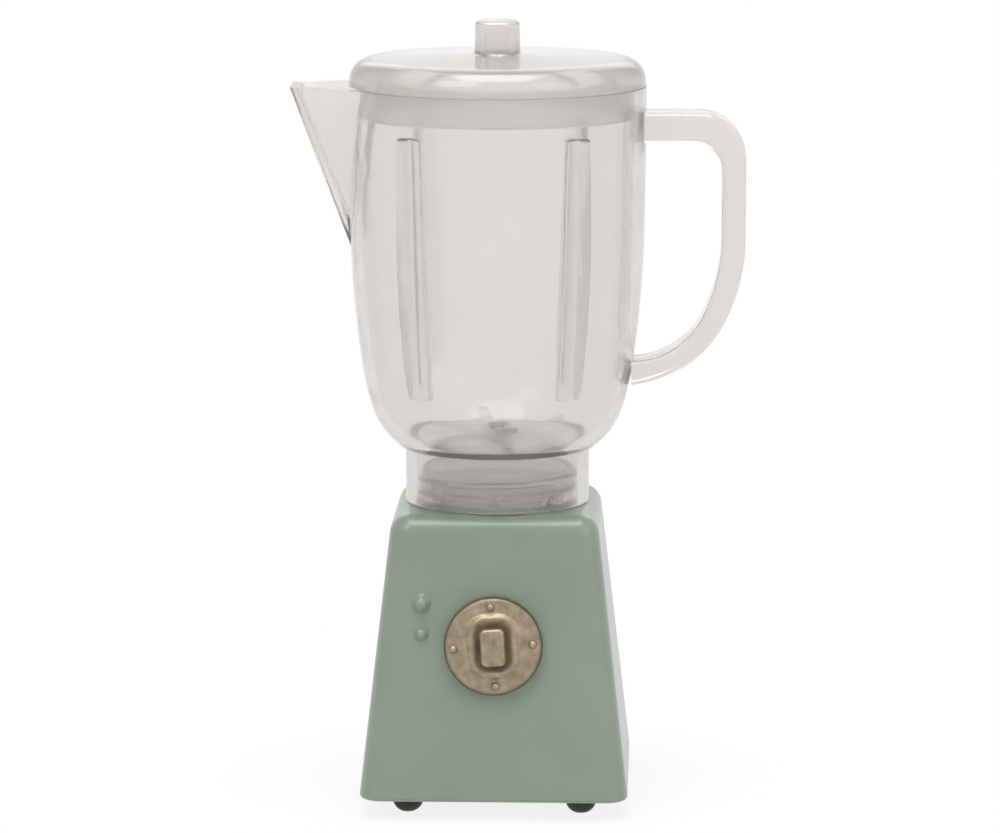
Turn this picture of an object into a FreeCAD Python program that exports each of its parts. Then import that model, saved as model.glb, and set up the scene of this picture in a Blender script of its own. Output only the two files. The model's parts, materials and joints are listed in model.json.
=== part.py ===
import FreeCAD
import Part
import os
from math import atan2, cos, hypot, pi, radians, sin, tan

# Toy blender: a painted die-cast base with a turning dial, a clear moulded jar and a clear lid.
# Millimetres, +Z up. The origin is on the jar's axis at floor level, and the dial faces -Y.
# The spout points along -X and the handle along +X.

V = FreeCAD.Vector
UP = V(0, 0, 1)
ORIGIN = V(0, 0, 0)
# Below this two places count as one, and a small step fillet takes this share of the step
same_place = 1e-4
soft_share = 0.8

# Base housing
base_bottom_z = 1.9
base_top_z = 30.0
base_bottom_half = 13.3
base_top_half = 10.12
base_wall = 1.2
base_corner_r = 2.2
base_top_edge_r = 2.0
base_bottom_edge_r = 0.4
jar_boss_r = 6.0
jar_boss_h = 0.7
stud_x = -7.1
stud_upper_z = 21.5
stud_lower_z = 18.55
stud_upper_r = 1.0
stud_lower_r = 0.75
stud_ball_share = 0.72
stud_ring_height = 0.32

# Bottom plate, screws and feet
plate_gap = 0.1
plate_recess = 0.3
plate_t = 1.2
post_r = 1.5
post_x = 8.9
post_top_z = 16.0
post_rib_t = 1.0
screw_r = 0.45
screw_length = 5.5
screw_head_r = 1.0
screw_head_t = 0.6
screw_slot_w = 0.3
foot_xy = 8.6
foot_r = 1.5
foot_flat_r = 0.7
foot_stem_r = 0.8
foot_stem_proud = 0.3

# Dial
dial_z = 17.4
dial_r = 4.85
dial_t = 1.15
dial_edge_r = 0.5
dial_turn_deg = 4.0
dial_face_gap = 0.05
dial_boss_w = 4.4
dial_boss_h = 6.6
dial_boss_rise = 0.45
dial_boss_corner = 1.7
paddle_w = 2.4
paddle_h = 3.7
paddle_rise = 1.35
paddle_corner = 0.6
paddle_top_round = 0.35
paddle_pocket = 0.5
paddle_gap = 0.06
rivet_pitch_r = 3.9
rivet_head_r = 0.42
rivet_shank_r = 0.24
rivet_count = 4
spindle_r = 1.2
running_gap = 0.05
washer_r = 2.3
washer_t = 0.4
washer_gap = 0.1
dial_screw_r = 0.4
dial_screw_depth = 1.6
dial_screw_head_r = 0.95
dial_screw_head_t = 0.55

# Jar
jar_rim_z = 71.5
jar_rim_r = 14.75
jar_wall = 1.1
bowl_straight_z = 60.0
bowl_straight_r = 14.65
# Where the bowl's outer curve changes radius, as (radius, height), down to the neck
bowl_knots = [(13.6, 44.5), (12.55, 39.6), (10.2, 36.0)]
bowl_floor_z = 36.6
bowl_floor_t = 1.0
neck_r = 9.15
neck_wall = 1.05
neck_bottom_z = 30.05

rib_angles = (-144.0, -36.0, 36.0, 144.0)
rib_top_z = 67.4
rib_bottom_z = 41.7
rib_top_half_root = 2.0
rib_top_half_tip = 0.6
rib_top_tip_r = 12.1
rib_bottom_half_root = 2.4
rib_bottom_half_tip = 0.75
rib_bottom_tip_r = 10.75
rib_end_round = 0.5

spout_wall = 0.95
spout_nose_x = 20.4
spout_nose_half = 2.9
spout_root_x = 9.5
spout_root_half = 9.0
spout_foot_z = 54.0
spout_foot_x = 13.95
spout_foot_half = 1.0
spout_nose_round = 0.8
corner_share = 0.7

handle_depth = 5.0
handle_top_z = 69.05
handle_arm_t = 3.05
handle_outer_x = 24.6
handle_inner_x = 22.25
handle_corner_r = 4.6
handle_corner_inner_r = 2.8
handle_root_x = 12.0
# Where the grip leaves the vertical, and the points that its two tangent arcs pass, as (x, height)
handle_outer_start_z = 56.5
handle_outer_knots = [(22.5, 48.0), (13.4, 41.7)]
handle_inner_start_z = 57.0
handle_inner_knots = [(20.6, 49.2), (13.3, 44.3)]
handle_edge_r = 0.65

# Threaded plug under the bowl, with its finger notches
plug_r = 7.95
plug_bottom_z = 30.4
plug_top_z = 33.5
plug_wall = 1.3
plug_top_t = 1.0
plug_notches = 8
plug_notch_r = 0.75

# Blade star on the bowl's floor, and its pin
star_hub_r = 1.3
star_hub_t = 0.7
star_lift = 0.2
star_blades = 4
star_reach = 6.8
star_root_half = 1.15
star_tip_half = 0.45
star_bend_r = 3.8
star_tip_rise = 1.0
star_blade_t = 0.45
star_turn_deg = 15.0
pin_r = 0.6
pin_head_r = 1.0
pin_head_t = 0.4

# Lid
lid_gap = 0.05
lid_r = 14.65
lid_h = 3.0
lid_corner_r = 2.2
lid_plate_t = 1.0
lid_dome = 0.3
lid_plug_r = 13.4
lid_plug_wall = 1.0
lid_plug_drop = 3.1
lid_plug_round = 0.35
knob_r = 2.25
knob_top_r = 2.18
knob_h = 3.4
knob_edge_r = 0.45
knob_root_r = 0.4
knob_core_r = 1.3
knob_core_top = 0.9

# Worked out from the sizes above
lean = atan2(base_bottom_half - base_top_half, base_top_z - base_bottom_z)
wall_across = base_wall / cos(lean)
plate_bottom_z = base_bottom_z + plate_recess
plate_top_z = plate_bottom_z + plate_t
neck_bore_r = neck_r - neck_wall
lid_bottom_z = jar_rim_z + lid_gap


def base_half(z):
    """Half the width of the housing at a height."""
    return base_bottom_half - (z - base_bottom_z) * tan(lean)


def save(shape, node):
    """Write one piece, as one STEP file, after a check that it is sound."""
    if not shape.isValid() or shape.Volume <= 0:
        raise ValueError(f"{node} is not a sound solid")
    shape.exportStep(f"parts/{node}.step")
    print(f"{node}: {len(shape.Solids)} solid, {shape.Volume:.2f} mm3")


def one_solid(shape):
    """The only solid of a shape, with the seams between like faces taken out."""
    merged = shape.removeSplitter()
    if len(merged.Solids) != 1:
        raise ValueError(f"expected one solid and found {len(merged.Solids)}")
    return merged.Solids[0]


def group(solids):
    """Separate solids that share one node."""
    return Part.makeCompound(solids)


def segment(a, b):
    return Part.LineSegment(V(*a), V(*b)).toShape()


def arc(a, middle, b):
    return Part.Arc(V(*a), V(*middle), V(*b)).toShape()


def round_corner(centre, radius, from_deg, to_deg):
    """An arc in the XZ plane, with angles counted from +X towards +Z."""
    points = []
    for share in (0.0, 0.5, 1.0):
        angle = radians(from_deg + share * (to_deg - from_deg))
        points.append((centre[0] + radius * cos(angle), 0, centre[1] + radius * sin(angle)))
    return arc(*points)


def revolve(edges):
    """Turn a closed outline in the XZ plane once round the Z axis."""
    return Part.Face(Part.Wire(Part.__sortEdges__(edges))).revolve(ORIGIN, UP, 360)


def outline_edges(points):
    """Straight edges through points given as (radius, height)."""
    return [segment((a[0], 0, a[1]), (b[0], 0, b[1])) for a, b in zip(points, points[1:])]


def turned(points):
    """A solid turned from a closed straight-sided outline."""
    return revolve(outline_edges(points + points[:1]))


def plan_wire(points, z):
    return Part.makePolygon([V(x, y, z) for x, y in points + points[:1]])


def rounded_slab(width, height, corner, z0, z1):
    """A plate with rounded corners, centred on the Z axis."""
    slab = Part.makeBox(width, height, z1 - z0, V(-width / 2, -height / 2, z0))
    upright = [e for e in slab.Edges if abs(e.Vertexes[0].Z - e.Vertexes[-1].Z) > (z1 - z0) / 2]
    return slab.makeFillet(corner, upright)


def edges_at(shape, z):
    """The edges of a shape that lie flat at one height."""
    return [
        e for e in shape.Edges
        if abs(e.BoundBox.ZMin - z) < same_place and abs(e.BoundBox.ZMax - z) < same_place
    ]


def dial_place(shape):
    """Move a piece from the dial's own frame, +Z out of the front face, to its place."""
    placed = shape.copy()
    placed.rotate(ORIGIN, UP, dial_turn_deg)
    placed.rotate(ORIGIN, V(1, 0, 0), 90 - lean * 180 / pi)
    placed.translate(V(0, -base_half(dial_z), dial_z))
    return placed


def tapered_block(inset, z0, z1, corner, top_round):
    """The housing's four leaning sides, drawn in by an inset, with rounded corners and top edge."""
    low = base_half(z0) - inset
    high = base_half(z1) - inset
    block = Part.makeWedge(-low, z0, -low, -high, -high, low, z1, low, high, high)
    block.rotate(ORIGIN, V(1, 0, 0), 90)
    upright = [e for e in block.Edges if e.BoundBox.ZLength > (z1 - z0) / 2]
    block = block.makeFillet(corner, upright)
    return block.makeFillet(top_round, edges_at(block, z1))


def cast_stud(z, outer_r):
    """A cast-in half round stud: a low ring and the ball that stands in it."""
    ring = Part.makeCone(outer_r, outer_r * stud_ball_share, stud_ring_height, V(0, 0, 0), UP)
    root = Part.makeCylinder(outer_r, base_wall / 2, V(0, 0, -base_wall / 2), UP)
    ball = Part.makeSphere(outer_r * stud_ball_share, V(0, 0, stud_ring_height / 2))
    ball = ball.common(Part.makeCylinder(outer_r, 2 * outer_r, V(0, 0, -base_wall / 2), UP))
    stud = ring.fuse([root, ball])
    stud.rotate(ORIGIN, V(1, 0, 0), 90 - lean * 180 / pi)
    stud.translate(V(stud_x, -base_half(z), z))
    return stud


def screw_post(x):
    """A screw post that is ribbed to the side wall beside it."""
    height = post_top_z - plate_top_z
    post = Part.makeCylinder(post_r, height, V(x, 0, plate_top_z), UP)
    reach = base_bottom_half - abs(x)
    corner_x = x if x > 0 else x - reach
    rib = Part.makeBox(reach, post_rib_t, height, V(corner_x, -post_rib_t / 2, plate_top_z))
    return post.fuse(rib)


def make_base_housing():
    outer = tapered_block(0, base_bottom_z, base_top_z, base_corner_r, base_top_edge_r)
    outer = outer.makeFillet(base_bottom_edge_r, edges_at(outer, base_bottom_z))
    inner = tapered_block(
        wall_across, base_bottom_z - base_wall, base_top_z - base_wall,
        base_corner_r - base_wall, base_top_edge_r - base_wall,
    )
    shell = outer.cut(inner)
    posts = screw_post(post_x).fuse(screw_post(-post_x)).common(outer)
    shell = shell.fuse([posts, cast_stud(stud_upper_z, stud_upper_r), cast_stud(stud_lower_z, stud_lower_r)])
    shell = shell.fuse(Part.makeCylinder(jar_boss_r, jar_boss_h + base_wall, V(0, 0, base_top_z - base_wall), UP))
    for x in (-post_x, post_x):
        shell = shell.cut(Part.makeCylinder(screw_r, screw_length, V(x, 0, plate_top_z), UP))
    bore = Part.makeCylinder(spindle_r + running_gap, 4 * base_wall, V(0, 0, -2 * base_wall), UP)
    return one_solid(shell.cut(dial_place(bore)))


def make_bottom_plate():
    half = base_half(plate_bottom_z) - wall_across - plate_gap - plate_t * tan(lean)
    plate = rounded_slab(2 * half, 2 * half, base_corner_r - base_wall, plate_bottom_z, plate_top_z)
    for x in (-post_x, post_x):
        plate = plate.cut(Part.makeCylinder(screw_r + running_gap, plate_t, V(x, 0, plate_bottom_z), UP))
        plate = plate.cut(Part.makeCylinder(screw_head_r + plate_gap, screw_head_t, V(x, 0, plate_bottom_z), UP))
    for x in (-foot_xy, foot_xy):
        for y in (-foot_xy, foot_xy):
            plate = plate.cut(Part.makeCylinder(foot_stem_r, plate_t, V(x, y, plate_bottom_z), UP))
    return one_solid(plate)


def make_bottom_screws():
    screws = []
    for x in (-post_x, post_x):
        head = Part.makeCylinder(screw_head_r, screw_head_t, V(x, 0, plate_bottom_z), UP)
        shank_z = plate_bottom_z + screw_head_t
        shank_length = screw_length + plate_t - screw_head_t - 2 * running_gap
        screw = head.fuse(Part.makeCylinder(screw_r - running_gap / 2, shank_length, V(x, 0, shank_z), UP))
        slot_corner = V(x - screw_head_r, -screw_slot_w / 2, plate_bottom_z)
        slot = Part.makeBox(2 * screw_head_r, screw_slot_w, screw_head_t / 2, slot_corner)
        screws.append(one_solid(screw.cut(slot)))
    return group(screws)


def make_foot(x, y):
    """A rubber dome with a flat to stand on and a stem pressed through the plate."""
    stem_top = plate_top_z + foot_stem_proud
    bend = foot_flat_r + (foot_r - foot_flat_r) * sin(pi / 4)
    bend_z = foot_r * (1 - cos(pi / 4))
    edges = [
        segment((0, 0, 0), (foot_flat_r, 0, 0)),
        arc((foot_flat_r, 0, 0), (bend, 0, bend_z), (foot_r, 0, foot_r)),
        *outline_edges([
            (foot_r, foot_r), (foot_r, plate_bottom_z), (foot_stem_r, plate_bottom_z),
            (foot_stem_r, stem_top), (0, stem_top), (0, 0),
        ]),
    ]
    foot = revolve(edges)
    foot.translate(V(x, y, 0))
    return one_solid(foot)


def make_dial_plate():
    """The round plate with its soft raised boss, the pocket for the paddle, and the spindle behind."""
    face_z = dial_face_gap + dial_t
    boss_z = face_z + dial_boss_rise
    disc = Part.makeCylinder(dial_r, dial_t, V(0, 0, dial_face_gap), UP)
    disc = disc.makeFillet(dial_edge_r, edges_at(disc, face_z))
    boss = rounded_slab(dial_boss_w, dial_boss_h, dial_boss_corner, dial_face_gap, boss_z)
    boss = boss.makeFillet(dial_boss_rise * soft_share, edges_at(boss, boss_z))
    behind = base_wall + washer_gap
    spindle = Part.makeCylinder(spindle_r, behind + dial_face_gap, V(0, 0, -behind), UP)
    plate = disc.fuse([boss, spindle])
    pocket = rounded_slab(
        paddle_w + 2 * paddle_gap, paddle_h + 2 * paddle_gap, paddle_corner, boss_z - paddle_pocket, boss_z + 1,
    )
    plate = plate.cut(pocket)
    hole = Part.makeCylinder(dial_screw_r, dial_screw_depth, V(0, 0, -base_wall - washer_gap), UP)
    plate = plate.cut(hole)
    for step in range(rivet_count):
        angle = 2 * pi * step / rivet_count
        centre = V(rivet_pitch_r * cos(angle), rivet_pitch_r * sin(angle), dial_face_gap)
        plate = plate.cut(Part.makeCylinder(rivet_shank_r + running_gap / 5, dial_t, centre, UP))
    return one_solid(dial_place(plate))


def make_dial_paddle():
    floor_z = dial_face_gap + dial_t + dial_boss_rise - paddle_pocket
    top_z = floor_z + paddle_rise
    paddle = rounded_slab(paddle_w, paddle_h, paddle_corner - paddle_gap, floor_z, top_z)
    paddle = paddle.makeFillet(paddle_top_round, edges_at(paddle, top_z))
    return one_solid(dial_place(paddle))


def make_dial_rivets():
    rivets = []
    face_z = dial_face_gap + dial_t
    for step in range(rivet_count):
        angle = 2 * pi * step / rivet_count
        x = rivet_pitch_r * cos(angle)
        y = rivet_pitch_r * sin(angle)
        shank = Part.makeCylinder(rivet_shank_r, dial_t, V(x, y, dial_face_gap), UP)
        head = Part.makeSphere(rivet_head_r, V(x, y, face_z))
        head = head.common(Part.makeCylinder(rivet_head_r, rivet_head_r, V(x, y, face_z), UP))
        rivets.append(one_solid(dial_place(shank.fuse(head))))
    return group(rivets)


def make_dial_washer():
    top_z = -base_wall - washer_gap
    ring = Part.makeCylinder(washer_r, washer_t, V(0, 0, top_z - washer_t), UP)
    hole = Part.makeCylinder(dial_screw_r + running_gap, washer_t, V(0, 0, top_z - washer_t), UP)
    return one_solid(dial_place(ring.cut(hole)))


def make_dial_screw():
    head_top = -base_wall - washer_gap - washer_t
    shank_length = washer_t + dial_screw_depth - running_gap
    head = Part.makeCylinder(dial_screw_head_r, dial_screw_head_t, V(0, 0, head_top - dial_screw_head_t), UP)
    shank = Part.makeCylinder(dial_screw_r - running_gap / 2, shank_length, V(0, 0, head_top), UP)
    slot_corner = V(-dial_screw_head_r, -screw_slot_w / 2, head_top - dial_screw_head_t)
    slot = Part.makeBox(2 * dial_screw_head_r, screw_slot_w, dial_screw_head_t / 2, slot_corner)
    return one_solid(dial_place(head.fuse(shank).cut(slot)))


def tangent_arcs(start, knots, inset=0.0):
    """Arcs in the XZ plane that leave straight down and pass through the knots without a corner.

    An inset moves each arc towards its centre. The end point and the turn there come with them.
    """
    edges = []
    turn = 0.0
    for knot in knots:
        chord = hypot(knot[0] - start[0], knot[1] - start[1])
        end_turn = 2 * atan2(start[0] - knot[0], start[1] - knot[1]) - turn
        radius = chord / (2 * sin((end_turn - turn) / 2))
        centre = (start[0] - radius * cos(turn), start[1] + radius * sin(turn))
        reach = radius - inset
        points = [
            (centre[0] + reach * cos(angle), 0, centre[1] - reach * sin(angle))
            for angle in (turn, (turn + end_turn) / 2, end_turn)
        ]
        edges.append(arc(*points))
        start = knot
        turn = end_turn
    return edges, (points[-1][0], points[-1][2]), turn


def bowl_solid(inset, top_z, floor_z):
    """The bowl filled solid, moved in by an inset, down to a flat floor."""
    curve, foot, foot_turn = tangent_arcs((bowl_straight_r, bowl_straight_z), bowl_knots, inset)
    side = outline_edges([(0, top_z), (jar_rim_r - inset, top_z), (bowl_straight_r - inset, bowl_straight_z)])
    floor_r = foot[0] - (foot[1] - floor_z) * tan(foot_turn)
    closing = outline_edges([foot, (floor_r, floor_z), (0, floor_z), (0, top_z)])
    return revolve(side + curve + closing)


def spout_outline(nose_x, nose_half, root_half, corner, z):
    """The spout in plan at one height: a blunt nose with rounded corners, widening towards the jar."""
    side = hypot(nose_x - spout_root_x, root_half - nose_half)
    along = ((nose_x - spout_root_x) / side, (root_half - nose_half) / side)
    edges = []
    for hand in (-1, 1):
        flat_end = (-nose_x, hand * (nose_half - corner), z)
        side_start = (-nose_x + corner * along[0], hand * (nose_half + corner * along[1]), z)
        # A round corner passes nearer to its corner point than to the chord
        chord_share = (1 - corner_share) / 2
        middle = (
            corner_share * -nose_x + chord_share * (flat_end[0] + side_start[0]),
            corner_share * hand * nose_half + chord_share * (flat_end[1] + side_start[1]), z,
        )
        edges.append(arc(flat_end, middle, side_start))
        edges.append(segment(side_start, (-spout_root_x, hand * root_half, z)))
    edges.append(segment((-nose_x, corner - nose_half, z), (-nose_x, nose_half - corner, z)))
    edges.append(segment((-spout_root_x, -root_half, z), (-spout_root_x, root_half, z)))
    return Part.Wire(Part.__sortEdges__(edges))


def spout_block(inset, top_z):
    """The spout's wedge: a blunt nose at the rim that narrows down to a point on the bowl."""
    side_inset = inset * tan(pi / 5)
    foot_x = spout_foot_x - inset
    foot_half = spout_foot_half * (1 - inset / (2 * spout_wall))
    rise = (top_z - jar_rim_z) / (jar_rim_z - spout_foot_z)
    nose = spout_nose_x - inset
    nose += rise * (nose - foot_x)
    nose_half = spout_nose_half - side_inset
    nose_half += rise * (nose_half - foot_half)
    corner = spout_nose_round * (1 - inset / (2 * spout_wall))
    foot = spout_outline(foot_x, foot_half, 2 * foot_half, foot_half / 2, spout_foot_z + inset)
    top = spout_outline(nose, nose_half, spout_root_half - side_inset, corner, top_z)
    return Part.makeLoft([foot, top], True, True)


def handle_solid():
    """The flat-sided handle: a straight arm, a round corner, a grip and a long curve back to the bowl."""
    outer_corner = (handle_outer_x - handle_corner_r, handle_top_z - handle_corner_r)
    arm_z = handle_top_z - handle_arm_t
    inner_corner = (handle_inner_x - handle_corner_inner_r, arm_z - handle_corner_inner_r)
    outer_start = (handle_outer_x, handle_outer_start_z)
    inner_start = (handle_inner_x, handle_inner_start_z)
    outer_arcs, outer_end, _ = tangent_arcs(outer_start, handle_outer_knots)
    inner_arcs, inner_end, _ = tangent_arcs(inner_start, handle_inner_knots)
    edges = [
        *outline_edges([(handle_root_x, arm_z), (handle_root_x, handle_top_z), (outer_corner[0], handle_top_z)]),
        round_corner(outer_corner, handle_corner_r, 90, 0),
        *outline_edges([(handle_outer_x, outer_corner[1]), outer_start]),
        *outer_arcs,
        *outline_edges([outer_end, inner_end]),
        *inner_arcs,
        *outline_edges([inner_start, (handle_inner_x, inner_corner[1])]),
        round_corner(inner_corner, handle_corner_inner_r, 0, 90),
        *outline_edges([(inner_corner[0], arm_z), (handle_root_x, arm_z)]),
    ]
    face = Part.Face(Part.Wire(Part.__sortEdges__(edges)))
    face.translate(V(0, -handle_depth / 2, 0))
    handle = face.extrude(V(0, handle_depth, 0))
    flat = [e for e in handle.Edges if e.BoundBox.YLength < same_place]
    root_x = outer_end[0] + handle_edge_r
    long_edges = [e for e in flat if e.BoundBox.XMax > root_x]
    return handle.makeFillet(handle_edge_r, long_edges)


def rib_section(z, root_half, tip_half, tip_r):
    root_r = bowl_straight_r
    return plan_wire([(-root_half, -root_r), (root_half, -root_r), (tip_half, -tip_r), (-tip_half, -tip_r)], z)


def rib_solid(angle):
    """One inward rib: a tapered bar with a rounded top end, deeper towards the bowl's foot."""
    low = rib_section(rib_bottom_z, rib_bottom_half_root, rib_bottom_half_tip, rib_bottom_tip_r)
    high = rib_section(rib_top_z, rib_top_half_root, rib_top_half_tip, rib_top_tip_r)
    rib = Part.makeLoft([low, high], True, True)
    tips = [
        e for e in rib.Edges
        if e.BoundBox.ZLength > (rib_top_z - rib_bottom_z) / 2 and e.BoundBox.YMin > -bowl_straight_r + 1
    ]
    ends = [
        e for e in edges_at(rib, rib_top_z)
        if e.BoundBox.YMax > -bowl_straight_r + 1
    ]
    rib = rib.makeFillet(rib_end_round, ends + tips)
    rib.rotate(ORIGIN, UP, angle)
    return rib


def make_jar():
    """Bowl, spout, handle, ribs and neck, all one moulding."""
    over = 1.0
    floor_bottom_z = bowl_floor_z - bowl_floor_t
    neck = Part.makeCylinder(neck_r, floor_bottom_z - neck_bottom_z, V(0, 0, neck_bottom_z), UP)
    outside = bowl_solid(0, jar_rim_z, floor_bottom_z)
    outside = outside.fuse([neck, spout_block(0, jar_rim_z), handle_solid()])
    inside = bowl_solid(jar_wall, jar_rim_z + over, bowl_floor_z)
    jar = outside.cut(inside.fuse(spout_block(spout_wall, jar_rim_z + over)))
    skin = bowl_solid(jar_wall / 2, jar_rim_z, bowl_floor_z)
    ribs = [rib_solid(angle).common(skin) for angle in rib_angles]
    jar = jar.fuse(ribs)
    neck_bore = Part.makeCylinder(neck_bore_r, floor_bottom_z - neck_bottom_z, V(0, 0, neck_bottom_z), UP)
    pin_hole = Part.makeCylinder(pin_r, bowl_floor_t, V(0, 0, floor_bottom_z), UP)
    return one_solid(jar.cut(neck_bore).cut(pin_hole))


def make_threaded_plug():
    """The round plug that closes the neck, cupped below, with finger notches in its lower edge."""
    plug = turned([
        (0, plug_top_z), (plug_r, plug_top_z), (plug_r, plug_bottom_z), (plug_r - plug_wall, plug_bottom_z),
        (plug_r - plug_wall, plug_top_z - plug_top_t), (0, plug_top_z - plug_top_t),
    ])
    for step in range(plug_notches):
        notch = Part.makeCylinder(plug_notch_r, 2 * plug_r, V(0, 0, plug_bottom_z), V(0, -1, 0))
        notch.rotate(ORIGIN, UP, 360 * step / plug_notches)
        plug = plug.cut(notch)
    return one_solid(plug)


def star_blade():
    """One blade along +X: flat near the hub, then bent up towards a narrow tip."""
    low = bowl_floor_z + star_lift
    side = [
        (0, low), (star_bend_r, low), (star_reach, low + star_tip_rise),
        (star_reach, low + star_tip_rise + star_blade_t), (star_bend_r, low + star_blade_t), (0, low + star_blade_t),
    ]
    strip = Part.Face(Part.Wire(outline_edges(side + side[:1])))
    strip.translate(V(0, -star_root_half, 0))
    strip = strip.extrude(V(0, 2 * star_root_half, 0))
    corners = [
        (0, -star_root_half), (star_reach, -star_tip_half), (star_reach, star_tip_half), (0, star_root_half),
    ]
    plan = Part.Face(plan_wire(corners, low))
    return strip.common(plan.extrude(V(0, 0, star_tip_rise + star_blade_t)))


def make_blade_star():
    low = bowl_floor_z + star_lift
    star = Part.makeCylinder(star_hub_r, star_hub_t, V(0, 0, low), UP)
    for step in range(star_blades):
        blade = star_blade()
        blade.rotate(ORIGIN, UP, star_turn_deg + 360 * step / star_blades)
        star = star.fuse(blade)
    return one_solid(star.cut(Part.makeCylinder(pin_r + running_gap, 2 * star_hub_t, V(0, 0, low), UP)))


def make_blade_pin():
    floor_bottom_z = bowl_floor_z - bowl_floor_t
    head_z = bowl_floor_z + star_lift + star_hub_t + running_gap
    shank = Part.makeCylinder(pin_r, head_z - floor_bottom_z, V(0, 0, floor_bottom_z), UP)
    head = Part.makeCylinder(pin_head_r, pin_head_t, V(0, 0, head_z), UP)
    head = head.makeFillet(pin_head_t * soft_share, edges_at(head, head_z + pin_head_t))
    return one_solid(shank.fuse(head))


def make_lid():
    """Flanged lid with its knob, and the plug ring that drops inside the jar's rim."""
    top_z = lid_bottom_z + lid_h - lid_dome
    crown_z = top_z + lid_dome
    corner_x = lid_r - lid_corner_r
    bend = lid_corner_r * sin(pi / 4)
    drop_z = lid_bottom_z - lid_plug_drop
    ceiling_z = top_z - lid_plate_t
    inner_r = lid_plug_r - lid_plug_wall
    knob_top_z = crown_z + knob_h
    edges = [
        segment((0, 0, knob_top_z), (knob_top_r - knob_edge_r, 0, knob_top_z)),
        round_corner((knob_top_r - knob_edge_r, knob_top_z - knob_edge_r), knob_edge_r, 90, 0),
        *outline_edges([(knob_top_r, knob_top_z - knob_edge_r), (knob_r, crown_z + knob_root_r)]),
        round_corner((knob_r + knob_root_r, crown_z + knob_root_r), knob_root_r, 180, 270),
        *outline_edges([(knob_r + knob_root_r, crown_z), (corner_x, top_z)]),
        arc((corner_x, 0, top_z), (corner_x + bend, 0, top_z - lid_corner_r + bend), (lid_r, 0, top_z - lid_corner_r)),
        *outline_edges([
            (lid_r, top_z - lid_corner_r), (lid_r, lid_bottom_z), (lid_plug_r, lid_bottom_z),
            (lid_plug_r, drop_z + lid_plug_round),
        ]),
        round_corner((lid_plug_r - lid_plug_round, drop_z + lid_plug_round), lid_plug_round, 0, -90),
        *outline_edges([
            (lid_plug_r - lid_plug_round, drop_z), (inner_r, drop_z), (inner_r, ceiling_z), (knob_core_r, ceiling_z),
            (knob_core_r, knob_top_z - knob_core_top), (0, knob_top_z - knob_core_top), (0, knob_top_z),
        ]),
    ]
    return one_solid(revolve(edges))


def main():
    os.makedirs("parts", exist_ok=True)
    save(make_base_housing(), "base_housing")
    save(make_bottom_plate(), "bottom_plate")
    save(make_bottom_screws(), "bottom_screws")
    for x, side in ((-foot_xy, "left"), (foot_xy, "right")):
        for y, end in ((-foot_xy, "front"), (foot_xy, "rear")):
            save(make_foot(x, y), f"foot_{end}_{side}")
    save(make_dial_plate(), "dial_plate")
    save(make_dial_paddle(), "dial_paddle")
    save(make_dial_rivets(), "dial_rivets")
    save(make_dial_washer(), "dial_washer")
    save(make_dial_screw(), "dial_screw")
    save(make_jar(), "jar")
    save(make_threaded_plug(), "threaded_plug")
    save(make_blade_star(), "blade_star")
    save(make_blade_pin(), "blade_pin")
    save(make_lid(), "lid")


main()
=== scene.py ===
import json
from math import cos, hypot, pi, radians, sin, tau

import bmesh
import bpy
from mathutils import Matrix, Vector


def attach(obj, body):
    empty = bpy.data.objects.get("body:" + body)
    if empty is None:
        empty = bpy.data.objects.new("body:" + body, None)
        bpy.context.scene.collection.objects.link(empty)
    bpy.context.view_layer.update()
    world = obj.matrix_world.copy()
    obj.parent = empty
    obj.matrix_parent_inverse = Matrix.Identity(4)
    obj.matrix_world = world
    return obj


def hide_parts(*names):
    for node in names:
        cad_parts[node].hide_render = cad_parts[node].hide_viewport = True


bl_info = {
    "name": "Toy blender",
    "version": (1, 0, 0),
    "blender": (4, 5, 0),
    "location": "3D View > Sidebar > Toy blender",
    "description": "Dresses the packed toy blender: enamelled base, clear jar and lid, antique dial",
    "category": "Object",
}

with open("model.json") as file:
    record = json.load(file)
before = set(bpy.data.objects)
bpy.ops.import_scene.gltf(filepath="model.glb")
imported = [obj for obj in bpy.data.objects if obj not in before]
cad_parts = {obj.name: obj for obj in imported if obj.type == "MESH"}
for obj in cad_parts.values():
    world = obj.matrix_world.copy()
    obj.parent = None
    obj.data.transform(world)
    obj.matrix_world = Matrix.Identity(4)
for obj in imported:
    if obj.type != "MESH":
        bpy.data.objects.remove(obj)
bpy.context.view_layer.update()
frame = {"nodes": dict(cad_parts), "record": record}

MM = 0.001
BEHAVIOUR = frame["record"]["behaviour"]
BODY_OF = {node: body for body, nodes in BEHAVIOUR["bodies"].items() for node in nodes}
DIAL_JOINT = next(joint for joint in BEHAVIOUR["joints"] if joint["name"] == "dial_turn")

# The sRGB curve: its straight part up to the knee, then its power part
SRGB_KNEE = 0.04045
SRGB_SLOPE = 12.92
SRGB_LIFT = 0.055
SRGB_POWER = 2.4
WHITE = (1.0, 1.0, 1.0, 1.0)

# Packed triangles closer than this many millimetres are joined, and shade as one up to this angle
WELD_GAP = 0.0005
PIECE_CREASE = 28.0

# Where a noise pattern reaches its darker and its lighter colour
ENAMEL_TONES = (0.35, 0.65)
DIAL_TONES = (0.36, 0.64)

# The clear resin's tint, and how fast it takes up light, per metre
RESIN_TINT = "#ebe7e3"
RESIN_DENSITY = 270.0

# Dark wash and painted shade in the dial's creases: walls this many millimetres off count as near
CREASE_REACH = 0.75
CREASE_OPEN = 0.85
CREASE_LIGHT = 0.1
# The dial's face has no painted shade up to the first radius, and is darkened by painted shade and dark
# wash from the second, in millimetres
RIM_SHADE_FROM_R = 4.4
RIM_DARK_R = 4.82
RIM_LIGHT = 0.25

# The dial's cast face in its own plane, in millimetres: its outline and rounded rim
FACE_R = 4.85
FACE_Z = 1.2
FACE_RIM_R = 0.5
FACE_TURN_DEG = 4.0
FACE_RINGS = 34
RIM_RINGS = 7
FACE_SPOKES = 120
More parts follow.
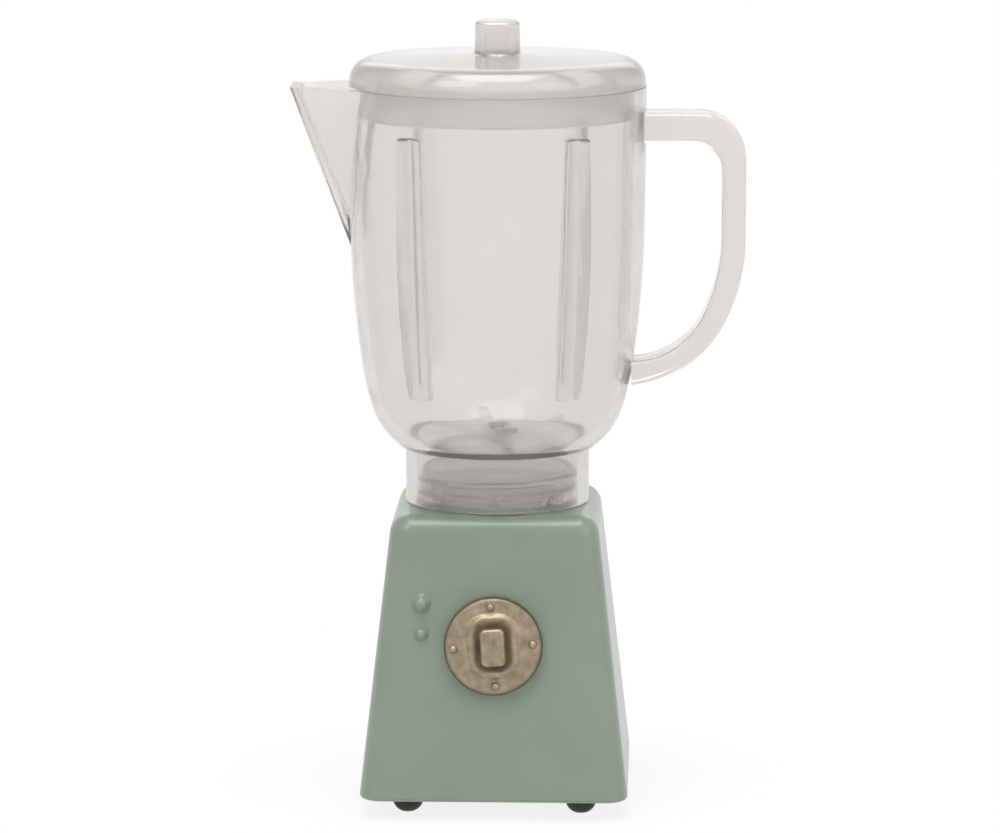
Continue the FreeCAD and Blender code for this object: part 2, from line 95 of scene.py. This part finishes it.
# The swelling round the paddle, by its distance from the paddle's outline, in millimetres
PADDLE_HALF = (1.2, 1.85)
PADDLE_CORNER = 0.6
SWELL_VALLEY = 0.0
SWELL_CREST = 0.95
SWELL_END = 1.5
SWELL_RISE = 0.36

# The plug's screw thread, in millimetres, and the steps of one turn
THREAD_PITCH = 1.25
THREAD_TURNS = 1.9
THREAD_STEPS = 96
THREAD_DEPTH = 0.42
THREAD_ROOT_W = 0.66
THREAD_CREST_W = 0.25
THREAD_TOP_GAP = 0.375
THREAD_CREASE = 40.0

# The paper floor, in metres: it takes some shadow near the toy and is plain white beyond
FLOOR_HALF = 3.0
SHADOW_FULL_R = 0.018
SHADOW_END_R = 0.034
SHADOW_WHITE = 0.85
PAPER = "#f4f4f4"
# The surroundings show as pure white, but light the toy with this share
SURROUND_LIGHT = 0.35

# Soft boxes: a key in front on the left, one overhead, a fill on the right and one behind
SOFT_BOXES = {
    "key_box": {"place": (-0.35, -0.5, 0.6), "side": 0.4, "watts": 1.4},
    "top_box": {"place": (0.0, -0.14, 0.65), "side": 0.42, "watts": 2.5},
    "fill_box": {"place": (0.5, -0.35, 0.35), "side": 0.5, "watts": 0.8},
    "back_box": {"place": (0.0, 0.6, 0.5), "side": 0.6, "watts": 1.1},
}
BOXES_AIM = (0, 0, 0.035)
SENSOR_WIDTH = 36.0
CAMERA_NEAR = 0.01


def from_hex(code):
    """An sRGB hex colour as the linear colour that shaders take."""
    linear = []
    for start in (1, 3, 5):
        channel = int(code[start:start + 2], 16) / 255
        if channel <= SRGB_KNEE:
            linear.append(channel / SRGB_SLOPE)
        else:
            linear.append(((channel + SRGB_LIFT) / (1 + SRGB_LIFT)) ** SRGB_POWER)
    return (*linear, 1.0)


def put(obj):
    """Link an object to the scene."""
    bpy.context.scene.collection.objects.link(obj)
    return obj


def add_node(tree, kind, settings=None, inputs=None, links=None):
    """Add one node with its settings and values, and link other nodes' outputs to its inputs."""
    node = tree.nodes.new(kind)
    for key, value in (settings or {}).items():
        setattr(node, key, value)
    for key, value in (inputs or {}).items():
        node.inputs[key].default_value = value
    for key, source in (links or {}).items():
        tree.links.new(source, node.inputs[key])
    return node


def new_material(name, values):
    """A material with a shader of the given values, and the nodes that it starts from."""
    material = bpy.data.materials.new(name)
    material.use_nodes = True
    tree = material.node_tree
    tree.nodes.clear()
    shader = add_node(tree, "ShaderNodeBsdfPrincipled", inputs=values)
    output = add_node(tree, "ShaderNodeOutputMaterial", links={"Surface": shader.outputs["BSDF"]})
    return material, tree, shader, output


def in_millimetres(tree):
    """Object coordinates in millimetres, so that a pattern's scale is its real size."""
    place = add_node(tree, "ShaderNodeTexCoord")
    scaled = add_node(
        tree, "ShaderNodeVectorMath", {"operation": "SCALE"},
        inputs={"Scale": 1 / MM}, links={0: place.outputs["Object"]},
    )
    return scaled.outputs[0]


def add_noise(tree, place, scale, detail):
    """The output of a noise pattern with the given scale per millimetre."""
    noise = add_node(
        tree, "ShaderNodeTexNoise", inputs={"Scale": scale, "Detail": detail}, links={"Vector": place},
    )
    return noise.outputs["Fac"]


def add_bump(tree, shader, pattern, strength, depth):
    """Let a pattern raise the shader's surface, by a depth in millimetres."""
    bump = add_node(
        tree, "ShaderNodeBump",
        inputs={"Strength": strength, "Distance": depth * MM}, links={"Height": pattern},
    )
    tree.links.new(bump.outputs["Normal"], shader.inputs["Normal"])


def add_tones(tree, pattern, positions, codes):
    """The output of a ramp from a darker to a lighter colour."""
    ramp = add_node(tree, "ShaderNodeValToRGB", links={"Fac": pattern})
    for element, position, code in zip(ramp.color_ramp.elements, positions, codes):
        element.position = position
        element.color = from_hex(code)
    return ramp.outputs["Color"]


def combine(tree, operation, first, second):
    """The output of one calculation on two outputs."""
    node = add_node(tree, "ShaderNodeMath", {"operation": operation}, links={0: first, 1: second})
    return node.outputs[0]


def rays_that_see(tree):
    """1 for rays of the camera, through clear walls and off gloss, and 0 for the rest."""
    rays = add_node(tree, "ShaderNodeLightPath").outputs
    through = combine(tree, "MAXIMUM", rays["Is Camera Ray"], rays["Is Transmission Ray"])
    return combine(tree, "MAXIMUM", through, rays["Is Glossy Ray"])


def gloss_enamel(settings):
    """Gloss enamel, sprayed and baked on the housing: an even coat that flows round the edges.

    The eye sees a deep even colour, a clear reflection and the faintest orange peel.
    """
    values = {"Roughness": 0.3, "Coat Weight": 0.35, "Coat Roughness": 0.2}
    material, tree, shader, _ = new_material("gloss_enamel", values)
    place = in_millimetres(tree)
    cloud = add_noise(tree, place, scale=0.16, detail=3.0)
    tone = add_tones(tree, cloud, ENAMEL_TONES, (settings.enamel_shade, settings.enamel))
    tree.links.new(tone, shader.inputs["Base Color"])
    peel = add_noise(tree, place, scale=1.6, detail=2.0)
    add_bump(tree, shader, peel, strength=0.05, depth=0.02)
    return material


def clear_styrene(name, tint, haze, polish):
    """Clear polystyrene, injection moulded, with the faint warm grey of its resin.

    The eye sees a slightly milky wall that gathers grey at its thick edges, and flow waves.
    """
    values = {
        "Base Color": from_hex(tint), "Roughness": polish, "IOR": 1.5, "Transmission Weight": 1.0 - haze,
    }
    material, tree, shader, output = new_material(name, values)
    flow = add_noise(tree, in_millimetres(tree), scale=0.35, detail=2.0)
    add_bump(tree, shader, flow, strength=0.12, depth=0.05)
    resin = add_node(
        tree, "ShaderNodeVolumeAbsorption",
        inputs={"Color": from_hex(RESIN_TINT), "Density": RESIN_DENSITY},
    )
    tree.links.new(resin.outputs["Volume"], output.inputs["Volume"])
    return material


def antique_metallic(settings):
    """Antique metallic paint over a cast dial: fine flakes, with dark wash and painted shade in the
    creases.

    The rim is darkened with the same colour, as painted shade along with dark wash, which draws a soft
    outline round the dial.
    """
    values = {"Metallic": 0.65, "Roughness": 0.34}
    material, tree, shader, _ = new_material("antique_metallic", values)
    place = in_millimetres(tree)
    grain = add_noise(tree, place, scale=14.0, detail=5.0)
    cloud = add_noise(tree, place, scale=0.9, detail=2.0)
    both = combine(tree, "ADD", grain, cloud)
    half = add_node(tree, "ShaderNodeMath", {"operation": "MULTIPLY"}, inputs={1: 0.5}, links={0: both})
    tone = add_tones(tree, half.outputs[0], DIAL_TONES, (settings.dial_shade, settings.dial_paint))
    # Painted shade with dark wash in the creases: the closer the walls, the darker
    crease = add_node(
        tree, "ShaderNodeAmbientOcclusion", {"samples": 8}, inputs={"Distance": CREASE_REACH * MM},
    )
    open_share = add_node(
        tree, "ShaderNodeMapRange",
        inputs={"From Min": 0.0, "From Max": CREASE_OPEN, "To Min": CREASE_LIGHT, "To Max": 1.0},
        links={"Value": crease.outputs["AO"]},
    )
    # Painted shade with dark wash on the rim, by distance from the dial's axis in the plane of its face
    from_centre = add_node(
        tree, "ShaderNodeVectorMath", {"operation": "SUBTRACT"},
        inputs={1: Vector(DIAL_JOINT["pos_m"]) / MM}, links={0: place},
    )
    across = add_node(
        tree, "ShaderNodeVectorMath", {"operation": "CROSS_PRODUCT"},
        inputs={1: Vector(DIAL_JOINT["axis"])}, links={0: from_centre.outputs[0]},
    )
    radius = add_node(
        tree, "ShaderNodeVectorMath", {"operation": "LENGTH"}, links={0: across.outputs[0]},
    )
    # Painted shade with dark wash: darker from this radius out to the rim
    rim_share = add_node(
        tree, "ShaderNodeMapRange",
        inputs={"From Min": RIM_SHADE_FROM_R, "From Max": RIM_DARK_R, "To Min": 1.0, "To Max": RIM_LIGHT},
        links={"Value": radius.outputs["Value"]},
    )
    # Share of the flake colour that is left where neither painted shade nor dark wash falls
    free_of_wash_and_shade = combine(tree, "MULTIPLY", open_share.outputs["Result"], rim_share.outputs["Result"])
    # The dark colour mixed in here is dark wash together with painted shade
    wash_and_shade_mix = add_node(
        tree, "ShaderNodeMixRGB",
        inputs={"Color1": from_hex(settings.dial_wash_and_shade)}, links={"Fac": free_of_wash_and_shade, "Color2": tone},
    )
    tree.links.new(wash_and_shade_mix.outputs["Color"], shader.inputs["Base Color"])
    add_bump(tree, shader, grain, strength=0.55, depth=0.03)
    return material


def moulded_rubber(settings):
    """Black moulded rubber, matt, with the fine texture of its mould."""
    values = {"Base Color": from_hex(settings.rubber), "Roughness": 0.55}
    material, tree, shader, _ = new_material("moulded_rubber", values)
    grain = add_noise(tree, in_millimetres(tree), scale=6.0, detail=3.0)
    add_bump(tree, shader, grain, strength=0.2, depth=0.02)
    return material


def matt_moulding(settings):
    """Matt moulded plastic of the base plate, lightly spark-textured."""
    values = {"Base Color": from_hex(settings.plate), "Roughness": 0.6}
    material, tree, shader, _ = new_material("matt_moulding", values)
    grain = add_noise(tree, in_millimetres(tree), scale=4.0, detail=4.0)
    add_bump(tree, shader, grain, strength=0.3, depth=0.03)
    return material


def zinc_plate(settings):
    """Bright zinc plating on small steel screws and the washer."""
    values = {"Base Color": from_hex(settings.zinc), "Metallic": 1.0}
    material, tree, shader, _ = new_material("zinc_plate", values)
    grain = add_noise(tree, in_millimetres(tree), scale=8.0, detail=2.0)
    sheen = add_node(
        tree, "ShaderNodeMapRange", inputs={"To Min": 0.25, "To Max": 0.45}, links={"Value": grain},
    )
    tree.links.new(sheen.outputs["Result"], shader.inputs["Roughness"])
    return material


def shade_smooth(work, crease_deg):
    """Smooth shading, apart from edges that turn by the crease angle or more."""
    for face in work.faces:
        face.smooth = True
    for edge in work.edges:
        edge.smooth = len(edge.link_faces) == 2 and edge.calc_face_angle(0.0) < radians(crease_deg)


def smooth_piece(node, name):
    """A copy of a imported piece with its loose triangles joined, so that it shades as one surface."""
    mesh = frame["nodes"][node].data.copy()
    mesh.name = name
    work = bmesh.new()
    work.from_mesh(mesh)
    bmesh.ops.remove_doubles(work, verts=work.verts, dist=WELD_GAP * MM)
    shade_smooth(work, PIECE_CREASE)
    work.to_mesh(mesh)
    work.free()
    obj = put(bpy.data.objects.new(name, mesh))
    even = obj.modifiers.new("even_normals", "WEIGHTED_NORMAL")
    even.keep_sharp = True
    return obj


def finish_piece(obj, node, material):
    """Give a piece its material, slot and body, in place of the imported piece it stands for."""
    obj.data.materials.clear()
    obj.data.materials.append(material)
    for polygon in obj.data.polygons:
        polygon.material_index = 0
    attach(obj, BODY_OF[node])
    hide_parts(node)


def soft_step(low, high, value):
    """0 up to the first value and 1 from the second, with a smooth climb between."""
    share = min(max((value - low) / (high - low), 0.0), 1.0)
    return share * share * (3 - 2 * share)


def face_height(x, y):
    """Height of the cast dial at a point of its plane: low at the paddle, a soft crest, then flat."""
    out_x = abs(x) - PADDLE_HALF[0] + PADDLE_CORNER
    out_y = abs(y) - PADDLE_HALF[1] + PADDLE_CORNER
    outside = hypot(max(out_x, 0.0), max(out_y, 0.0)) + min(max(out_x, out_y), 0.0) - PADDLE_CORNER
    climb = soft_step(SWELL_VALLEY, SWELL_CREST, outside)
    fall = soft_step(SWELL_CREST, SWELL_END, outside)
    return FACE_Z + SWELL_RISE * (climb - fall)


def cast_face(plate):
    """Give the dial's plate its cast front: a rounded rim and one soft swelling round the paddle."""
    centre = Vector(DIAL_JOINT["pos_m"])
    out = Vector(DIAL_JOINT["axis"])
    across = Vector((1, 0, 0))
    turned = Matrix.Rotation(radians(FACE_TURN_DEG), 3, "Z")
    axes = Matrix((across, out.cross(across), out)).transposed() @ turned
    mesh = plate.data
    work = bmesh.new()
    work.from_mesh(mesh)
    rim_z = (FACE_Z - FACE_RIM_R) * MM
    front = [face for face in work.faces if (face.calc_center_median() - centre).dot(out) > rim_z]
    bmesh.ops.delete(work, geom=front, context="FACES")
    # Each ring's radius and its drop from the face: flat rings, then the quarter round of the rim
    flat_r = FACE_R - FACE_RIM_R
    places = [(flat_r * step / FACE_RINGS, 0.0) for step in range(1, FACE_RINGS + 1)]
    for step in range(1, RIM_RINGS + 1):
        bend = pi / 2 * step / RIM_RINGS
        places.append((flat_r + FACE_RIM_R * sin(bend), FACE_RIM_R * (1 - cos(bend))))
    rings = []
    for radius, drop in places:
        ring = []
        for spoke in range(FACE_SPOKES):
            x = radius * cos(tau * spoke / FACE_SPOKES)
            y = radius * sin(tau * spoke / FACE_SPOKES)
            ring.append(work.verts.new(centre + axes @ Vector((x, y, face_height(x, y) - drop)) * MM))
        rings.append(ring)
    middle = work.verts.new(centre + axes @ Vector((0, 0, FACE_Z)) * MM)
    for spoke in range(FACE_SPOKES):
        after = (spoke + 1) % FACE_SPOKES
        work.faces.new((middle, rings[0][spoke], rings[0][after])).smooth = True
        for inner, outer in zip(rings, rings[1:]):
            work.faces.new((inner[spoke], outer[spoke], outer[after], inner[after])).smooth = True
    work.to_mesh(mesh)
    work.free()
    return plate


def cut_thread(plug):
    """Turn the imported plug's plain wall into a core, and wind its real thread round it.

    The thread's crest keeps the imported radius, so the plug stays inside its box. It starts at the back.
    """
    mesh = plug.data
    work = bmesh.new()
    work.from_mesh(mesh)
    crest_r = max(hypot(v.co.x, v.co.y) for v in work.verts)
    top_z = max(v.co.z for v in work.verts)
    core_r = crest_r - THREAD_DEPTH * MM
    for vert in work.verts:
        radius = hypot(vert.co.x, vert.co.y)
        if radius > core_r:
            vert.co.x *= core_r / radius
            vert.co.y *= core_r / radius
    start_z = top_z - (THREAD_TURNS * THREAD_PITCH + THREAD_TOP_GAP) * MM
    half_root = THREAD_ROOT_W * MM / 2
    half_crest = THREAD_CREST_W * MM / 2
    sunk_r = core_r - THREAD_DEPTH * MM / 2
    profile = [
        (sunk_r, -half_root), (core_r, -half_root), (crest_r, -half_crest),
        (crest_r, half_crest), (core_r, half_root), (sunk_r, half_root),
    ]
    verts = [work.verts.new((0.0, r, start_z + z)) for r, z in profile]
    edges = [work.edges.new((a, b)) for a, b in zip(verts, verts[1:] + verts[:1])]
    work.faces.new(verts)
    swept = bmesh.ops.spin(
        work, geom=verts + edges, cent=(0, 0, 0), axis=(0, 0, 1),
        dvec=(0, 0, THREAD_PITCH * MM / THREAD_STEPS), angle=THREAD_TURNS * tau,
        steps=int(THREAD_TURNS * THREAD_STEPS), use_merge=False,
    )
    last = [item for item in swept["geom_last"] if isinstance(item, bmesh.types.BMVert)]
    work.faces.new(last)
    bmesh.ops.recalc_face_normals(work, faces=work.faces)
    shade_smooth(work, THREAD_CREASE)
    work.to_mesh(mesh)
    work.free()
    return plug


def colour_setting(name, description, default):
    """A colour that the user can change, as sRGB hex."""
    return bpy.props.StringProperty(name=name, description=description, default=default)


class BlenderToySettings(bpy.types.PropertyGroup):
    """Colours and camera sizes that a user would change."""

    enamel: colour_setting("Enamel", "Base enamel, sRGB hex", "#869384")
    enamel_shade: colour_setting("Enamel shade", "Enamel's darker clouds", "#828f7f")
    clear_tint: colour_setting("Clear tint", "Tint of the clear plastic", "#fcfaf9")
    lid_tint: colour_setting("Lid tint", "Tint of the lid's plastic", "#f9f6f4")
    dial_paint: colour_setting("Dial paint", "Metallic paint, lighter flakes", "#b2a28a")
    dial_shade: colour_setting("Dial shade", "Metallic paint, darker flakes", "#84755f")
    # The dial's dark colour: dark wash together with painted shade, in the creases and on the rim
    dial_wash_and_shade: colour_setting("Dial crease", "Dark paint in the creases", "#4a3f30")
    rubber: colour_setting("Rubber", "Feet", "#2b2a25")
    plate: colour_setting("Plate", "Base plate", "#7d8978")
    zinc: colour_setting("Zinc", "Screws and washer", "#c9c8c2")
    aim: bpy.props.FloatVectorProperty(
        name="Aim", description="Point that the camera looks at", default=(0.00025, 0.00001, 0.0383),
        subtype="TRANSLATION", unit="LENGTH", precision=5,
    )
    distance: bpy.props.FloatProperty(
        name="Distance", description="Camera to aim point", default=0.471, unit="LENGTH",
    )
    pitch: bpy.props.FloatProperty(
        name="Pitch", description="Camera's look down", default=radians(9.6), subtype="ANGLE",
    )
    azimuth: bpy.props.FloatProperty(
        name="Azimuth", description="Camera's turn to +X", default=radians(2.0), subtype="ANGLE",
    )
    lens: bpy.props.FloatProperty(name="Lens", description="Focal length in millimetres", default=169.6)


class TOY_OT_stage(bpy.types.Operator):
    """Make the floor, the soft lights, the white surroundings and the camera"""

    bl_idname = "toy.stage"
    bl_label = "Stage"

    def execute(self, context):
        scene = context.scene
        scene.view_settings.view_transform = "Standard"
        self.make_floor()
        self.make_world(scene)
        self.make_lights()
        self.make_camera(scene)
        return {"FINISHED"}

    def make_floor(self):
        """White paper that takes the toy's contact shadow and fades into the surroundings."""
        work = bmesh.new()
        bmesh.ops.create_grid(work, x_segments=1, y_segments=1, size=FLOOR_HALF)
        mesh = bpy.data.meshes.new("floor")
        work.to_mesh(mesh)
        work.free()
        floor = put(bpy.data.objects.new("floor", mesh))
        values = {"Base Color": from_hex(PAPER), "Roughness": 0.9}
        material, tree, shader, output = new_material("white_paper_floor", values)
        place = add_node(tree, "ShaderNodeTexCoord")
        away = add_node(
            tree, "ShaderNodeVectorMath", {"operation": "LENGTH"}, links={0: place.outputs["Object"]},
        )
        white = add_node(
            tree, "ShaderNodeMapRange", {"interpolation_type": "SMOOTHSTEP"},
            inputs={
                "From Min": SHADOW_FULL_R, "From Max": SHADOW_END_R, "To Min": SHADOW_WHITE, "To Max": 1.0,
            },
            links={"Value": away.outputs["Value"]},
        )
        share = combine(tree, "MULTIPLY", white.outputs["Result"], rays_that_see(tree))
        glow = add_node(tree, "ShaderNodeEmission", inputs={"Strength": 1.0})
        mix = add_node(
            tree, "ShaderNodeMixShader",
            links={0: share, 1: shader.outputs["BSDF"], 2: glow.outputs["Emission"]},
        )
        tree.links.new(mix.outputs["Shader"], output.inputs["Surface"])
        mesh.materials.append(material)

    def make_world(self, scene):
        """Surroundings that show as pure white and light the toy more dimly."""
        world = bpy.data.worlds.new("white_surroundings")
        world.use_nodes = True
        tree = world.node_tree
        tree.nodes.clear()
        dim = add_node(tree, "ShaderNodeBackground", inputs={"Color": WHITE, "Strength": SURROUND_LIGHT})
        white = add_node(tree, "ShaderNodeBackground", inputs={"Color": WHITE, "Strength": 1.0})
        mix = add_node(
            tree, "ShaderNodeMixShader",
            links={0: rays_that_see(tree), 1: dim.outputs[0], 2: white.outputs[0]},
        )
        add_node(tree, "ShaderNodeOutputWorld", links={"Surface": mix.outputs[0]})
        scene.world = world

    def make_lights(self):
        """Soft boxes that all look at the middle of the toy."""
        for name, box in SOFT_BOXES.items():
            lamp = bpy.data.lights.new(name, "AREA")
            lamp.shape = "SQUARE"
            lamp.size = box["side"]
            lamp.energy = box["watts"]
            obj = put(bpy.data.objects.new(name, lamp))
            obj.location = box["place"]
            aim = Vector(BOXES_AIM) - Vector(box["place"])
            obj.rotation_euler = aim.to_track_quat("-Z", "Y").to_euler()

    def make_camera(self, scene):
        """The camera of the photograph: a long lens, slightly above and to the right."""
        settings = scene.toy_blender
        lens = bpy.data.cameras.new("camera")
        lens.lens = settings.lens
        lens.sensor_width = SENSOR_WIDTH
        lens.clip_start = CAMERA_NEAR
        camera = put(bpy.data.objects.new("camera", lens))
        level = cos(settings.pitch)
        away = Vector((
            sin(settings.azimuth) * level, -cos(settings.azimuth) * level, sin(settings.pitch),
        ))
        camera.location = Vector(settings.aim) + settings.distance * away
        camera.rotation_euler = (-away).to_track_quat("-Z", "Y").to_euler()
        scene.camera = camera


class TOY_OT_base(bpy.types.Operator):
    """Finish the enamelled housing, its plate, screws and feet"""

    bl_idname = "toy.base"
    bl_label = "Base"

    def execute(self, context):
        settings = context.scene.toy_blender
        enamel = gloss_enamel(settings)
        finish_piece(smooth_piece("base_housing", "enamelled_housing"), "base_housing", enamel)
        plate = matt_moulding(settings)
        finish_piece(smooth_piece("bottom_plate", "base_plate"), "bottom_plate", plate)
        rubber = moulded_rubber(settings)
        for end in ("front", "rear"):
            for side in ("left", "right"):
                node = f"foot_{end}_{side}"
                finish_piece(smooth_piece(node, f"rubber_{node}"), node, rubber)
        zinc = zinc_plate(settings)
        finish_piece(smooth_piece("bottom_screws", "base_screws"), "bottom_screws", zinc)
        finish_piece(smooth_piece("dial_washer", "spindle_washer"), "dial_washer", zinc)
        finish_piece(smooth_piece("dial_screw", "spindle_screw"), "dial_screw", zinc)
        return {"FINISHED"}


class TOY_OT_dial(bpy.types.Operator):
    """Finish the dial's plate, paddle and rivets"""

    bl_idname = "toy.dial"
    bl_label = "Dial"

    def execute(self, context):
        paint = antique_metallic(context.scene.toy_blender)
        plate = cast_face(smooth_piece("dial_plate", "antique_dial_plate"))
        finish_piece(plate, "dial_plate", paint)
        for node in ("dial_paddle", "dial_rivets"):
            finish_piece(smooth_piece(node, f"antique_{node}"), node, paint)
        return {"FINISHED"}


class TOY_OT_jar(bpy.types.Operator):
    """Finish the clear jar, its threaded plug, the blades and the lid"""

    bl_idname = "toy.jar"
    bl_label = "Jar"

    def execute(self, context):
        settings = context.scene.toy_blender
        clear = clear_styrene("clear_styrene", settings.clear_tint, haze=0.14, polish=0.08)
        for node in ("jar", "blade_star", "blade_pin"):
            finish_piece(smooth_piece(node, f"clear_{node}"), node, clear)
        plug = cut_thread(smooth_piece("threaded_plug", "clear_threaded_plug"))
        finish_piece(plug, "threaded_plug", clear)
        frosted = clear_styrene("frosted_styrene", settings.lid_tint, haze=0.2, polish=0.14)
        finish_piece(smooth_piece("lid", "clear_lid"), "lid", frosted)
        return {"FINISHED"}


class TOY_PT_panel(bpy.types.Panel):
    """The steps that dress the toy blender"""

    bl_idname = "TOY_PT_panel"
    bl_label = "Toy blender"
    bl_space_type = "VIEW_3D"
    bl_region_type = "UI"
    bl_category = "Toy blender"

    def draw(self, context):
        for step in STEPS:
            self.layout.operator(step.bl_idname)


STEPS = (TOY_OT_stage, TOY_OT_base, TOY_OT_dial, TOY_OT_jar)
CLASSES = (BlenderToySettings, *STEPS, TOY_PT_panel)


def register():
    for item in CLASSES:
        bpy.utils.register_class(item)
    bpy.types.Scene.toy_blender = bpy.props.PointerProperty(type=BlenderToySettings)


def unregister():
    del bpy.types.Scene.toy_blender
    for item in reversed(CLASSES):
        bpy.utils.unregister_class(item)


def main():
    register()
    bpy.ops.toy.stage()
    bpy.ops.toy.base()
    bpy.ops.toy.dial()
    bpy.ops.toy.jar()


if __name__ == "__main__":
    main()
